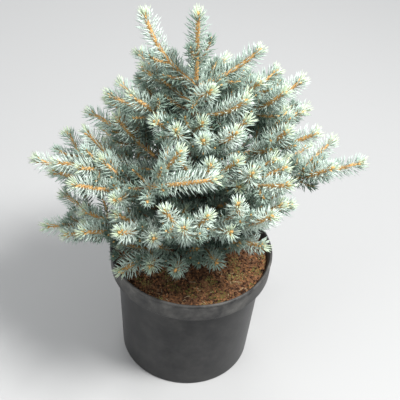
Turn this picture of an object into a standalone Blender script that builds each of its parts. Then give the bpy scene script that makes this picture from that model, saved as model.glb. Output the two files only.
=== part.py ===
# A young globe-form blue spruce that has kept its leader, in a round nursery pot.
# Metres, +Z up. The origin is the centre of the pot's flat underside, and the crown's
# front, where one long shoot lies across the others, faces -Y.

import math
import random

import bmesh
import bpy
import numpy as np

# Driving sizes of the pot and its soil
POT_HEIGHT = 0.213
RIM_RADIUS = 0.130
BAND_HEIGHT = 0.033
BAND_FOOT_RADIUS = 0.1285
BODY_TOP_RADIUS = 0.1167
BASE_RADIUS = 0.1067
POT_WALL = 0.0024
POT_FLOOR = 0.0040
LIP_RADIUS = 0.0022
LIP_ROUNDING = 0.3
GROOVE_DEPTH = 0.0013
BAND_CHAMFER = 0.0015
BASE_CHAMFER = 0.0025
SOIL_TOP = 0.203
SOIL_EDGE_DROP = 0.004
SOIL_FLAT_RADIUS = 0.030
SOIL_FIT = 0.002
POT_STEPS = 36

# Driving sizes of the trunk and the boughs
TRUNK_TOP = 0.530
LEADER_TIP = 0.628
TRUNK_LEAN = -0.0145
LEAN_POWER = 1.2
TRUNK_FOOT_RADIUS = 0.0095
TRUNK_TOP_RADIUS = 0.0028
FLARE_RADIUS = 0.0060
FLARE_HEIGHT = 0.010
FLARE_STEPS = (0.0, 0.004, 0.010, 0.020, 0.045)
BOUGH_ROOT_RADIUS = 0.0038
BOUGH_TIP_RADIUS = 0.0024
BOUGH_ARM = 0.5
BOUGH_ARM_LIFT = 0.45

# How side shoots fork, in degrees and in shares of a stem's or a shoot's length
FORK_SPREAD = (42, 62)
FORK_ROLL = (5, 50)
FORK_LENGTH = (0.6, 0.85)
FORK_STRAIGHTENS = 0.25
FORK_RISES = 0.10
LOWEST_NODE = 0.12
SECOND_WHORL = 0.3
FORK_STAGGER = 0.04
FORK_TRIES = 6

# Driving sizes of the foliage. A real shoot has some two hundred needles, so each needle
# here stands for a tuft of them, as long as they are and wider than life.
OLD_WOOD = 0.030
STEM_RADIUS = 0.0022
CORE_RADIUS = 0.0036
BARE_AT_BOUGH = 0.008
BARE_AT_TRUNK = 0.024
BARE_AT_FORK = 0.010
NEEDLE_LENGTH = 0.0175
NEEDLE_RADIUS = 0.0030
NEEDLE_STEP = 0.0104
NEEDLES_A_RING = 2
NEEDLE_LEAN = 58.0
TIP_NEEDLE_LEAN = 30.0
TIP_ZONE = 0.014
END_TUFT = 0.015
RING_TWIST = math.radians(18)
NEEDLE_SCATTER = 0.15
NEEDLE_LENGTHS = (0.92, 1.08)
FRAME_START = (0.31, 0.17, 0.93)
FRAME_REACH = 0.002

# Room between neighbours
GAP = 0.0003
SHOOT_ROOM = 0.0112
ROOMY = 0.018
NEEDLE_SPARE = 0.0012
SEED = 7

# Each bough: name, height where it leaves the trunk, compass heading of its end bud in
# degrees from +X, the bud's reach from the pot's axis, the bud's height, the length of
# this year's end shoot, and how many side shoots fork off beside it.
BOUGHS = (
    ("top_left",           0.5225, 166, 0.088, 0.610, 0.118, 0),
    ("top_right",          0.519,  14, 0.072, 0.572, 0.085, 0),
    ("top_front",          0.508, 282, 0.046, 0.542, 0.048, 0),
    ("top_back",           0.512,  66, 0.062, 0.528, 0.070, 0),
    ("upper_left",         0.488, 152, 0.105, 0.532, 0.062, 2),
    ("upper_right",        0.462,  24, 0.108, 0.524, 0.075, 2),
    ("upper_far_right",    0.440,  12, 0.138, 0.522, 0.080, 2),
    ("upper_outer_left",   0.452, 174, 0.132, 0.482, 0.085, 2),
    ("upper_front",        0.440, 250, 0.090, 0.502, 0.070, 2),
    ("upper_front_right",  0.428, 298, 0.100, 0.508, 0.075, 3),
    ("upper_near_right",   0.472, 322, 0.072, 0.530, 0.060, 1),
    ("upper_back_left",    0.466, 120, 0.120, 0.490, 0.080, 2),
    ("upper_back",         0.448,  72, 0.130, 0.470, 0.080, 2),
    ("middle_left",        0.322, 169, 0.165, 0.436, 0.082, 3),
    ("middle_right",       0.395, 352, 0.162, 0.470, 0.080, 4),
    ("middle_front",       0.362, 278, 0.125, 0.478, 0.075, 4),
    ("middle_front_right", 0.375, 316, 0.170, 0.452, 0.080, 4),
    ("middle_back_right",  0.412,  35, 0.190, 0.420, 0.090, 4),
    ("middle_back",        0.382,  88, 0.188, 0.435, 0.090, 4),
    ("middle_back_left",   0.396, 135, 0.182, 0.425, 0.090, 4),
    ("far_left",           0.304, 176, 0.243, 0.352, 0.085, 2),
    ("left",               0.368, 190, 0.205, 0.392, 0.085, 2),
    ("front_left",         0.338, 212, 0.195, 0.410, 0.095, 2),
    ("front_across",       0.345, 278, 0.152, 0.477, 0.100, 1),
    ("far_right",          0.332,   2, 0.238, 0.402, 0.095, 2),
    ("low_front_right",    0.296, 304, 0.185, 0.425, 0.078, 4),
    ("low_front",          0.284, 267, 0.190, 0.425, 0.078, 4),
    ("low_near_front",     0.308, 289, 0.160, 0.390, 0.070, 4),
    ("low_front_left",     0.296, 240, 0.190, 0.385, 0.080, 4),
    ("low_outer_left",     0.276, 216, 0.190, 0.330, 0.080, 3),
    ("low_left",           0.262, 188, 0.225, 0.262, 0.085, 3),
    ("low_right",          0.286, 335, 0.150, 0.370, 0.070, 3),
    ("low_back_right",     0.290,  32, 0.200, 0.350, 0.085, 4),
    ("low_back",           0.286,  88, 0.205, 0.345, 0.085, 4),
    ("low_back_left",      0.280, 140, 0.205, 0.335, 0.085, 4),
    ("skirt_left",         0.258, 232, 0.158, 0.272, 0.070, 3),
    ("skirt_front",        0.250, 262, 0.135, 0.292, 0.070, 3),
    ("skirt_right",        0.264, 288, 0.125, 0.300, 0.070, 3),
    ("skirt_far_right",    0.272, 316, 0.142, 0.320, 0.070, 3),
    ("skirt_back_right",   0.262,  35, 0.140, 0.285, 0.070, 3),
    ("skirt_back",         0.255,  92, 0.135, 0.278, 0.070, 4),
    ("skirt_back_left",    0.252, 152, 0.150, 0.270, 0.070, 4),
)

# Two boughs set out in another direction than their end bud's: the heading, length and
# lift of the arm that pulls their curve.
BENDS = {
    "front_across": (219, 0.190, 18),
    "middle_left": (172, 0.110, 50),
}

# Boughs that are young or short enough to carry foliage all the way to the trunk.
LIMBLESS_WHORLS = ("top_", "upper_", "skirt_")
LIMBLESS = ("middle_front", "low_near_front", "low_right", "left", "low_front",
            "low_front_right", "low_front_left", "low_outer_left")

# Finishes: colour, roughness, metallic
FINISHES = {
    "pot": ((0.030, 0.031, 0.033), 0.55, 0.0),
    "soil": ((0.075, 0.036, 0.018), 0.95, 0.0),
    "trunk": ((0.190, 0.120, 0.060), 0.85, 0.0),
    "bough": ((0.260, 0.130, 0.060), 0.80, 0.0),
    "foliage": ((0.250, 0.400, 0.360), 0.60, 0.0),
}


# Lines and lengths

def unit(vector):
    return vector / np.linalg.norm(vector)


def heading(degrees, lift=0.0):
    turn, rise = math.radians(degrees), math.radians(lift)
    level = math.cos(rise)
    return np.array((math.cos(turn) * level, math.sin(turn) * level, math.sin(rise)))


def bezier(start, pull, end, count):
    t = np.linspace(0, 1, count)[:, None]
    return (1 - t) ** 2 * start + 2 * t * (1 - t) * pull + t ** 2 * end


def run_lengths(path):
    steps = np.linalg.norm(np.diff(path, axis=0), axis=1)
    return np.concatenate(([0.0], np.cumsum(steps)))


def points_at(path, distances):
    run = run_lengths(path)
    return np.stack([np.interp(distances, run, path[:, k]) for k in range(3)], axis=1)


def stretch(path, start, end, count):
    return points_at(path, np.linspace(start, end, count))


def nearest(points, others):
    return np.min(np.linalg.norm(points[:, None] - others[None], axis=2), axis=1)


# The plan of the crown

def trunk_axis(z):
    share = max(0.0, (z - SOIL_TOP) / (LEADER_TIP - SOIL_TOP))
    return np.array((TRUNK_LEAN * share ** LEAN_POWER, 0.0, z))


def trunk_radius(z):
    share = (z - SOIL_TOP) / (TRUNK_TOP - SOIL_TOP)
    plain = TRUNK_FOOT_RADIUS + (TRUNK_TOP_RADIUS - TRUNK_FOOT_RADIUS) * share
    return plain + FLARE_RADIUS * math.exp(-(z - SOIL_TOP) / FLARE_HEIGHT)


def bough_path(row):
    name, root, turn, reach, bud, shoot, sides = row
    start = trunk_axis(root)
    end = reach * heading(turn) + np.array((0, 0, bud))
    span = np.linalg.norm(end - start)
    rise = math.degrees(math.asin((bud - root) / span))
    plain_arm = (turn, BOUGH_ARM * span, BOUGH_ARM_LIFT * rise)
    arm_turn, arm, lift = BENDS.get(name, plain_arm)
    return bezier(start, start + arm * heading(arm_turn, lift), end, 41)


def side_shoot(fork, forward, hand, length, rng):
    level = unit(np.cross((0, 0, 1.0), forward))
    upward = np.cross(forward, level)
    spread = math.radians(rng.uniform(*FORK_SPREAD))
    roll = math.radians(rng.uniform(*FORK_ROLL))
    away = hand * math.cos(roll) * level + math.sin(roll) * upward
    out = math.cos(spread) * forward + math.sin(spread) * away
    onward = (1 - FORK_STRAIGHTENS) * out + FORK_STRAIGHTENS * forward
    end = fork + length * unit(onward + np.array((0, 0, FORK_RISES)))
    return bezier(fork, fork + 0.5 * length * out, end, 9)


def plan_mass(row):
    """Splits one bough into its bare limb and the stem of its foliage."""
    name, root, turn, reach, bud, shoot, sides = row
    path = bough_path(row)
    total = run_lengths(path)[-1]
    limbless = name.startswith(LIMBLESS_WHORLS) or name in LIMBLESS
    stem = total if limbless else shoot + OLD_WOOD
    limb = None
    if not limbless:
        end = total - stem - GAP
        limb = points_at(path, [*np.linspace(0, end - STEM_RADIUS, 6), end])
    return {
        "name": name,
        "limb": limb,
        "shoots": [stretch(path, total - stem, total, 12)],
        "node": max((stem - shoot) / stem, LOWEST_NODE),
        "shoot": shoot,
        "sides": sides,
        "bare": BARE_AT_TRUNK if limbless else BARE_AT_BOUGH,
    }


def plan_crown():
    rng = random.Random(SEED)
    masses = [plan_mass(row) for row in BOUGHS]
    leader = np.array([trunk_axis(z) for z in np.linspace(TRUNK_TOP + GAP, LEADER_TIP, 12)])
    masses.append({"name": "leader", "limb": None, "shoots": [leader], "node": 0.0,
                   "shoot": LEADER_TIP - TRUNK_TOP, "sides": 0, "bare": BARE_AT_BOUGH})
    taken = [mass["shoots"][0] for mass in masses]
    taken += [mass["limb"] for mass in masses if mass["limb"] is not None]
    taken.append(np.array([trunk_axis(z) for z in np.linspace(SOIL_TOP, TRUNK_TOP, 40)]))
    for mass in masses:
        stem = mass["shoots"][0]
        hand = rng.choice((-1, 1))
        for index in range(mass["sides"]):
            share = mass["node"] * (1.0 if index < 2 else SECOND_WHORL)
            share += FORK_STAGGER * (index % 2)
            place = share * (len(stem) - 1)
            first = min(int(place), len(stem) - 2)
            step = stem[first + 1] - stem[first]
            fork = stem[first] + (place - first) * step
            best_room, best = 0.0, None
            for attempt in range(FORK_TRIES):
                length = mass["shoot"] * rng.uniform(*FORK_LENGTH)
                shoot = side_shoot(fork, unit(step), hand, length, rng)
                room = min(nearest(shoot[3:], other).min() for other in taken)
                if room > best_room:
                    best_room, best = room, shoot
                if room > ROOMY:
                    break
            hand = -hand
            if best_room > SHOOT_ROOM:
                mass["shoots"].append(best)
                taken.append(best)
    return masses


# Room for the needles

def sample_axes(masses):
    """Points along every shoot, and along the limbs and the trunk with their radii."""
    shoots = [np.concatenate([stretch(s, 0, run_lengths(s)[-1], 24) for s in mass["shoots"]])
              for mass in masses]
    limb_points, limb_radii = [], []
    for mass in masses:
        if mass["limb"] is None:
            continue
        points = stretch(mass["limb"], 0, run_lengths(mass["limb"])[-1], 40)
        limb_points.append(points)
        limb_radii.append(np.full(len(points), BOUGH_ROOT_RADIUS))
    heights = np.linspace(SOIL_TOP, TRUNK_TOP, 120)
    limb_points.append(np.array([trunk_axis(z) for z in heights]))
    limb_radii.append(np.array([trunk_radius(z) for z in heights]))
    return shoots, np.concatenate(limb_points), np.concatenate(limb_radii)


def above_pot(points):
    """True where every point keeps clear of the pot's rim and of the soil."""
    reach = np.hypot(points[:, 0], points[:, 1])
    inside = reach < BODY_TOP_RADIUS - 2 * NEEDLE_RADIUS
    floor = np.where(inside, SOIL_TOP, POT_HEIGHT) + 2 * NEEDLE_RADIUS
    beside = reach > RIM_RADIUS + 2 * NEEDLE_RADIUS
    return bool(np.all((points[:, 2] > floor) | beside))


def has_room(root, tip, own, others, limb_points, limb_radii):
    """True where a tapering needle from root to tip stays in its mass's own space."""
    share = np.linspace(0.25, 1.0, 7)
    points = root + share[:, None] * (tip - root)
    thick = NEEDLE_RADIUS * (1 - share)
    if not above_pot(points):
        return False
    apart = np.linalg.norm(points[:, None] - limb_points[None], axis=2) - limb_radii[None]
    if np.any(apart.min(axis=1) < thick + 2 * GAP):
        return False
    away = nearest(points, others)
    if np.any(away < CORE_RADIUS + thick + 2 * GAP):
        return False
    return bool(np.all(away > nearest(points, own) + 2 * thick + NEEDLE_SPARE))


# Modelling

def clear_scene():
    for obj in list(bpy.data.objects):
        bpy.data.objects.remove(obj)


def new_collection(name):
    collection = bpy.data.collections.new(name)
    bpy.context.scene.collection.children.link(collection)
    return collection


def finish(obj, kind):
    colour, roughness, metallic = FINISHES[kind]
    material = bpy.data.materials.new(obj.name + "_finish")
    material.use_nodes = True
    shader = material.node_tree.nodes["Principled BSDF"]
    shader.inputs["Base Color"].default_value = (*colour, 1.0)
    shader.inputs["Roughness"].default_value = roughness
    shader.inputs["Metallic"].default_value = metallic
    obj.data.materials.clear()
    obj.data.materials.append(material)
    return obj


def evaluated_mesh(obj):
    graph = bpy.context.evaluated_depsgraph_get()
    return bpy.data.meshes.new_from_object(obj.evaluated_get(graph))


def section_curve(name, sides, collection):
    """A regular outline of unit radius that is drawn along a tube's path."""
    curve = bpy.data.curves.new(name, "CURVE")
    curve.dimensions = "2D"
    spline = curve.splines.new("POLY")
    spline.points.add(sides - 1)
    for index, point in enumerate(spline.points):
        turn = 2 * math.pi * index / sides
        point.co = (math.cos(turn), math.sin(turn), 0.0, 1.0)
    spline.use_cyclic_u = True
    obj = bpy.data.objects.new(name, curve)
    obj.hide_render = True
    obj.display_type = "WIRE"
    collection.objects.link(obj)
    return obj


def tube(name, path, radii, section, collection):
    """A closed tube along a path, as thick at each point as its radius says."""
    curve = bpy.data.curves.new(name, "CURVE")
    curve.dimensions = "3D"
    curve.bevel_mode = "OBJECT"
    curve.bevel_object = section
    curve.use_fill_caps = True
    spline = curve.splines.new("POLY")
    spline.points.add(len(path) - 1)
    for point, place, radius in zip(spline.points, path, radii):
        point.co = (*place, 1.0)
        point.radius = radius
    guide = bpy.data.objects.new(name, curve)
    collection.objects.link(guide)
    mesh = evaluated_mesh(guide)
    bpy.data.objects.remove(guide)
    bpy.data.curves.remove(curve)
    weld(mesh)
    obj = bpy.data.objects.new(name, mesh)
    collection.objects.link(obj)
    return obj


def weld(mesh):
    shape = bmesh.new()
    shape.from_mesh(mesh)
    bmesh.ops.remove_doubles(shape, verts=shape.verts, dist=1e-6)
    bmesh.ops.recalc_face_normals(shape, faces=shape.faces)
    shape.to_mesh(mesh)
    shape.free()


def turned(name, profile, collection):
    """A profile of (radius, height) pairs, spun about the pot's axis."""
    mesh = bpy.data.meshes.new(name)
    points = [(radius, 0.0, height) for radius, height in profile]
    mesh.from_pydata(points, [(i, i + 1) for i in range(len(points) - 1)], [])
    obj = bpy.data.objects.new(name, mesh)
    collection.objects.link(obj)
    spin = obj.modifiers.new("spin", "SCREW")
    spin.steps = POT_STEPS
    spin.render_steps = POT_STEPS
    spin.use_merge_vertices = True
    spin.merge_threshold = 1e-5
    spin.use_smooth_shade = True
    return obj


def cut(obj, cutter):
    difference = obj.modifiers.new("cut_" + cutter.name, "BOOLEAN")
    difference.operation = "DIFFERENCE"
    difference.object = cutter
    return obj


def make_pot(collection):
    band_foot = POT_HEIGHT - BAND_HEIGHT
    inner_band = RIM_RADIUS - POT_WALL
    lip_low = POT_HEIGHT - 2 * LIP_RADIUS
    corner = LIP_ROUNDING * LIP_RADIUS
    profile = [
        (0.0, POT_FLOOR),
        (BASE_RADIUS - POT_WALL, POT_FLOOR),
        (BODY_TOP_RADIUS - POT_WALL, band_foot),
        (inner_band - 2 * LIP_RADIUS, band_foot + 2 * POT_WALL),
        (inner_band - LIP_RADIUS, POT_HEIGHT - LIP_RADIUS),
        (inner_band, POT_HEIGHT),
        (RIM_RADIUS - corner, POT_HEIGHT - corner),
        (RIM_RADIUS, POT_HEIGHT - LIP_RADIUS),
        (RIM_RADIUS - corner, lip_low + corner),
        (RIM_RADIUS - GROOVE_DEPTH, lip_low - 0.5 * LIP_RADIUS),
        (BAND_FOOT_RADIUS, band_foot + BAND_CHAMFER),
        (BAND_FOOT_RADIUS - BAND_CHAMFER, band_foot),
        (BODY_TOP_RADIUS, band_foot - 0.5 * BAND_CHAMFER),
        (BASE_RADIUS, BASE_CHAMFER),
        (BASE_RADIUS - BASE_CHAMFER, 0.0),
        (0.0, 0.0),
    ]
    return finish(turned("pot", profile, collection), "pot")


def make_soil(collection):
    band_foot = POT_HEIGHT - BAND_HEIGHT
    edge = SOIL_TOP - SOIL_EDGE_DROP
    outer = RIM_RADIUS - POT_WALL - 2 * LIP_RADIUS - SOIL_FIT
    profile = [
        (0.0, SOIL_TOP - GAP),
        (SOIL_FLAT_RADIUS, SOIL_TOP - GAP),
        (outer, edge),
        (outer, band_foot + 2 * POT_WALL + 0.5 * SOIL_FIT),
        (BODY_TOP_RADIUS - POT_WALL - 2 * GAP, band_foot),
        (BASE_RADIUS - POT_WALL - 2 * GAP, POT_FLOOR + GAP),
        (0.0, POT_FLOOR + GAP),
    ]
    return finish(turned("soil", profile, collection), "soil")


def trunk_tube(name, extra, section, collection):
    low = [SOIL_TOP + rise for rise in FLARE_STEPS[:-1]]
    heights = low + list(np.linspace(SOIL_TOP + FLARE_STEPS[-1], TRUNK_TOP, 10))
    path = [trunk_axis(z) for z in heights]
    radii = [trunk_radius(z) + extra for z in heights]
    return tube(name, path, radii, section, collection)


def make_bough(mass, section, cutter, collection):
    name = mass["name"] + "_bough"
    radii = np.linspace(BOUGH_ROOT_RADIUS, BOUGH_TIP_RADIUS, len(mass["limb"]))
    bough = tube(name, mass["limb"], radii, section, collection)
    return finish(cut(bough, cutter), "bough")


def frames_along(shoot, places):
    """Point, forward and two crosswise directions at each place, without twist."""
    total = run_lengths(shoot)[-1]
    side = None
    for place in places:
        low, high = max(place - FRAME_REACH, 0.0), min(place + FRAME_REACH, total)
        first, point, last = points_at(shoot, (low, place, high))
        forward = unit(last - first)
        if side is None:
            side = np.cross(forward, FRAME_START)
        side = unit(side - forward * side.dot(forward))
        yield point, forward, side, np.cross(forward, side)


def needle_ring(point, forward, side, over, turn, to_tip, rng):
    """Tips of the needles that stand out round one place on a shoot."""
    near_tip = max(0.0, 1.0 - to_tip / TIP_ZONE)
    lean = math.radians(NEEDLE_LEAN + near_tip * (TIP_NEEDLE_LEAN - NEEDLE_LEAN))
    for index in range(NEEDLES_A_RING):
        angle = turn + 2 * math.pi * index / NEEDLES_A_RING
        angle += rng.uniform(-NEEDLE_SCATTER, NEEDLE_SCATTER)
        outward = math.cos(angle) * side + math.sin(angle) * over
        length = NEEDLE_LENGTH * rng.uniform(*NEEDLE_LENGTHS)
        yield point + length * (math.cos(lean) * forward + math.sin(lean) * outward)


def shoot_rings(shoot, bare, is_stem, own, others, limb_points, limb_radii, rng):
    """Rings of points along a shoot. A needle's tip takes the place of every second
    point, wherever the needle has room, and of the points between them one ring on."""
    total = run_lengths(shoot)[-1]
    sides = 2 * NEEDLES_A_RING
    count = int((total - bare) / NEEDLE_STEP)
    places = [0.0, bare] + [bare + (k + 1) * (total - bare) / count for k in range(count)]
    rings = []
    for level, (point, forward, side, over) in enumerate(frames_along(shoot, places)):
        low, high = places[max(level - 1, 0)], places[min(level + 1, count + 1)]
        room = nearest(stretch(shoot, low, high, 8), others).min()
        radius = max(STEM_RADIUS, min(CORE_RADIUS, 0.5 * room - GAP))
        if is_stem and level < 2:
            radius = STEM_RADIUS
        turn = level * RING_TWIST
        angles = [turn + 2 * math.pi * k / sides for k in range(sides)]
        ring = [point + radius * (math.cos(a) * side + math.sin(a) * over) for a in angles]
        if 1 < level < len(places) - 1:
            first = level % 2
            tips = needle_ring(point, forward, side, over, angles[first], total - places[level], rng)
            for index, tip in enumerate(tips):
                if has_room(point, tip, own, others, limb_points, limb_radii):
                    ring[first + 2 * index] = tip
        rings.append(ring)
    onward = unit(shoot[-1] - shoot[-2])
    end = shoot[-1] + END_TUFT * onward
    if not has_room(shoot[-1], end, own, others, limb_points, limb_radii):
        end = shoot[-1] + CORE_RADIUS * onward
    return rings, end


def shoot_mesh(name, rings, end):
    """Lofts a shoot's rings into one closed body. Each needle is a four-faced spike that
    rises from the points round it, so its root is part of the core."""
    shape = bmesh.new()
    loops = [[shape.verts.new(point) for point in ring] for ring in rings]
    sides = len(rings[0])
    shape.faces.new(loops[0])
    for level, (near, far) in enumerate(zip(loops, loops[1:])):
        for index in range(sides):
            after = (index + 1) % sides
            if (index + level) % 2:
                shape.faces.new((near[index], near[after], far[after]))
                shape.faces.new((near[index], far[after], far[index]))
            else:
                shape.faces.new((near[index], near[after], far[index]))
                shape.faces.new((near[after], far[after], far[index]))
    apex = shape.verts.new(end)
    for index in range(sides):
        shape.faces.new((loops[-1][index], loops[-1][(index + 1) % sides], apex))
    bmesh.ops.recalc_face_normals(shape, faces=shape.faces)
    mesh = bpy.data.meshes.new(name)
    shape.to_mesh(mesh)
    shape.free()
    return mesh


def keep_main_body(mesh):
    """Drops loose scraps and the walls of sealed hollows."""
    shape = bmesh.new()
    shape.from_mesh(mesh)
    waiting = set(shape.faces)
    islands = []
    while waiting:
        queue = [waiting.pop()]
        island = list(queue)
        while queue:
            face = queue.pop()
            for edge in face.edges:
                for near in edge.link_faces:
                    if near in waiting:
                        waiting.remove(near)
                        queue.append(near)
                        island.append(near)
        islands.append(island)
    islands.sort(key=len, reverse=True)
    scraps = [face for island in islands[1:] for face in island]
    bmesh.ops.delete(shape, geom=scraps, context="FACES")
    shape.to_mesh(mesh)
    shape.free()


def make_foliage(mass, plan, collection):
    """Fuses one mass: its stem and the side shoots, with the needles on them."""
    rng = random.Random(mass["name"])
    twigs = new_collection("twigs")
    meshes = []
    for index, shoot in enumerate(mass["shoots"]):
        bare = mass["bare"] if index == 0 else BARE_AT_FORK
        rings, end = shoot_rings(shoot, bare, index == 0, *plan, rng)
        meshes.append(shoot_mesh(mass["name"] + "_foliage", rings, end))
    foliage = bpy.data.objects.new(mass["name"] + "_foliage", meshes[0])
    collection.objects.link(foliage)
    for mesh in meshes[1:]:
        twigs.objects.link(bpy.data.objects.new("side_shoot", mesh))
    if twigs.objects:
        union = foliage.modifiers.new("fuse", "BOOLEAN")
        union.operation = "UNION"
        union.operand_type = "COLLECTION"
        union.collection = twigs
        foliage.data = evaluated_mesh(foliage)
        foliage.modifiers.clear()
        keep_main_body(foliage.data)
    for obj in list(twigs.objects):
        bpy.data.objects.remove(obj)
    bpy.data.collections.remove(twigs)
    return finish(foliage, "foliage")


def main():
    clear_scene()
    parts = new_collection("potted_blue_spruce")
    cutters = new_collection("cutters")
    make_pot(parts)
    make_soil(parts)
    trunk_section = section_curve("trunk_section", 12, cutters)
    bough_section = section_curve("bough_section", 6, cutters)
    finish(trunk_tube("trunk", 0.0, trunk_section, parts), "trunk")
    cutter = trunk_tube("trunk_room", GAP, trunk_section, cutters)
    cutter.hide_render = True
    cutter.display_type = "WIRE"
    masses = plan_crown()
    shoot_points, limb_points, limb_radii = sample_axes(masses)
    for index, mass in enumerate(masses):
        if mass["limb"] is not None:
            make_bough(mass, bough_section, cutter, parts)
        others = np.concatenate(shoot_points[:index] + shoot_points[index + 1:])
        plan = (shoot_points[index], others, limb_points, limb_radii)
        foliage = make_foliage(mass, plan, parts)
        if mass["limb"] is None and mass["name"] != "leader":
            cut(foliage, cutter)


main()
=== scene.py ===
# Looks of the potted globe-form blue spruce. The crown grows by the same rule as the solids
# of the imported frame, from the same named sizes, and is carried on to finer twigs, needles
# and buds. Metres, +Z up, in the frame's own coordinates.

import math
import random

import bpy
import numpy as np
from mathutils import Matrix, Vector, noise


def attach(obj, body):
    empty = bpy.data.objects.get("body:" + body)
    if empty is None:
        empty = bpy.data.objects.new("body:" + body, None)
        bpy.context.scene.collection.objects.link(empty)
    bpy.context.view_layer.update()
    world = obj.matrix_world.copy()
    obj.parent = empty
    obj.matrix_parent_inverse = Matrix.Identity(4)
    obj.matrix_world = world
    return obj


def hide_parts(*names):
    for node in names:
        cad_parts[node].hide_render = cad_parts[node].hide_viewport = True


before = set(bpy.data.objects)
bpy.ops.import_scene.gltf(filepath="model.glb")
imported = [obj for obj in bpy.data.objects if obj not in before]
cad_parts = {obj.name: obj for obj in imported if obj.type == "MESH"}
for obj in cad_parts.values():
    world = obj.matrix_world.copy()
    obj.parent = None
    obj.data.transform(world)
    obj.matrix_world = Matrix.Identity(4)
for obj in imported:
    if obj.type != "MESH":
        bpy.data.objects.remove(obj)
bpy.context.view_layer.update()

# Sizes of the pot and its soil, as in the solids
POT_HEIGHT = 0.213
RIM_RADIUS = 0.130
BAND_HEIGHT = 0.033
BAND_FOOT_RADIUS = 0.1285
BODY_TOP_RADIUS = 0.1167
BASE_RADIUS = 0.1067
POT_WALL = 0.0024
LIP_RADIUS = 0.0022
GROOVE_DEPTH = 0.0013
BAND_CHAMFER = 0.0015
BASE_CHAMFER = 0.0025
SOIL_TOP = 0.203
SOIL_EDGE_DROP = 0.004

# Smaller sizes of the pot and its soil, which only this script has
POT_STEPS = 160
POT_UNDERSIDE = ((0.0005, 0.0018), (0.060, 0.0018), (0.064, 0.0004), (0.074, 0.0004),
                 (0.078, 0.0018), (BASE_RADIUS - 0.014, 0.0018), (BASE_RADIUS - 0.011, 0.0))
POT_OVAL = 0.0004
POT_RIPPLE = 0.0002
# Pale grey on the pot rises from just below the band to the top: partly a dusty film, partly a
# painted highlight on the lit band.
DUST_AND_HIGHLIGHT_BELOW_BAND = 0.02
DUST_AND_HIGHLIGHT_AMOUNT = (0.14, 0.80)
POT_ROUGHNESS = (0.36, 0.85)
SOIL_RINGS = 70
SOIL_STEPS = 180
SOIL_SINK = 0.0010
SOIL_LUMP_HEIGHT = 0.0026
SOIL_LUMP_SCALE = 38
SOIL_CRUMB_HEIGHT = 0.0024
SOIL_CRUMB_SCALE = 230
CHIPS = 4200
CHIP_LENGTH = (0.0014, 0.0052)
CHIP_WIDTH_SHARE = (0.4, 0.8)
CHIP_HEIGHT_SHARE = (0.3, 0.5)
CHIP_TILT = 0.5
STRAW_EVERY = 34
STRAW_SLOT = 2
STRAW_LENGTH = (0.006, 0.018)
STRAW_SECTION = (0.0009, 0.0006)
MOSS_CLUMPS = 30
MOSS_SPREAD = (0.006, 0.018)
MOSS_BLADES_A_METRE = 9000
MOSS_HEIGHT = (0.0015, 0.0038)
MOSS_WIDTH = 0.00045
MOSS_TO_WALL = 0.003

# Sizes of the trunk and the boughs, as in the solids
TRUNK_TOP = 0.530
LEADER_TIP = 0.628
TRUNK_LEAN = -0.0145
LEAN_POWER = 1.2
TRUNK_FOOT_RADIUS = 0.0095
TRUNK_TOP_RADIUS = 0.0028
FLARE_RADIUS = 0.0060
FLARE_HEIGHT = 0.010
BOUGH_ROOT_RADIUS = 0.0038
BOUGH_TIP_RADIUS = 0.0024
BOUGH_ARM = 0.5
BOUGH_ARM_LIFT = 0.45

# Relief of the bark: rings, corners and the height of its lumps
BARK_SCALE = 260.0
TRUNK_RINGS = 220
TRUNK_CORNERS = 40
TRUNK_LUMPS = 0.0009
TRUNK_LOBES = 0.0016
LOBE_FADE = 0.014
BOUGH_RINGS = 70
BOUGH_CORNERS = 16
BOUGH_LUMPS = 0.0006
BOUGH_COLLAR = 0.0018
COLLAR_FADE = 14

# How side shoots fork, as in the solids
FORK_SPREAD = (42, 62)
FORK_ROLL = (5, 50)
FORK_LENGTH = (0.6, 0.85)
FORK_STRAIGHTENS = 0.25
FORK_RISES = 0.10
LOWEST_NODE = 0.12
SECOND_WHORL = 0.3
FORK_STAGGER = 0.04
FORK_TRIES = 6
OLD_WOOD = 0.030
STEM_RADIUS = 0.0022
BARE_AT_FORK = 0.010
GAP = 0.0003
SHOOT_ROOM = 0.0112
ROOMY = 0.018
SEED = 7
PATH_STEPS = 41
STEM_STEPS = 12
LIMB_STEPS = 6
SHOOT_STEPS = 9
FRAME_START = np.array((0.31, 0.17, 0.93))

# Finer twigs, which only this script grows. Shares are of a twig's or a stretch of wood's length.
FINE_SEED = 11
FINE_STEP = 0.012
FINE_STAGGER = (0.8, 1.3)
FINE_TRIES = 3
FINE_LENGTH = (0.022, 0.042)
FINE_SPREAD = (48, 72)
FINE_ROLL = (-35, 60)
FINE_ROOM = 0.0080
ROOM_SHARES = (0.45, 1.25)
ABOVE_RIM = 0.012
BARE_END_SHARE = 0.55
BARE_LIMB_SHARE = 0.12
SIDE_SHARE = 0.5
TRUNK_TWIGS = (0.262, 0.505)
TRUNK_TWIG_STEP = 0.0042
TRUNK_TWIG_STRETCH = 1.25
TRUNK_TWIG_RISE = (10, 40)
TRUNK_TWIG_START = 5

# Twigs and buds
SHOOT_ROOT_RADIUS = 0.0029
SHOOT_TIP_RADIUS = 0.0025
FINE_RADIUS = 0.0013
FINE_ROOT_SHARE = 1.2
TWIG_CORNERS = 8
TWIG_RING_STEP = 0.0035
TWIG_UNEVEN = (0.80, 1.20)
SHOOT_BARE = 0.005
FINE_BARE = 0.004
TRUNK_TWIG_BARE = 0.010
BUD_SIZE = 0.0044
FINE_BUD_SIZE = 0.0026
BUD_COUNT = 5
BUD_CORNERS = 6
BUD_OUTLINE = ((0.0, 0.60), (0.25, 0.95), (0.55, 0.92), (0.84, 0.48), (1.0, 0.06))

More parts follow.
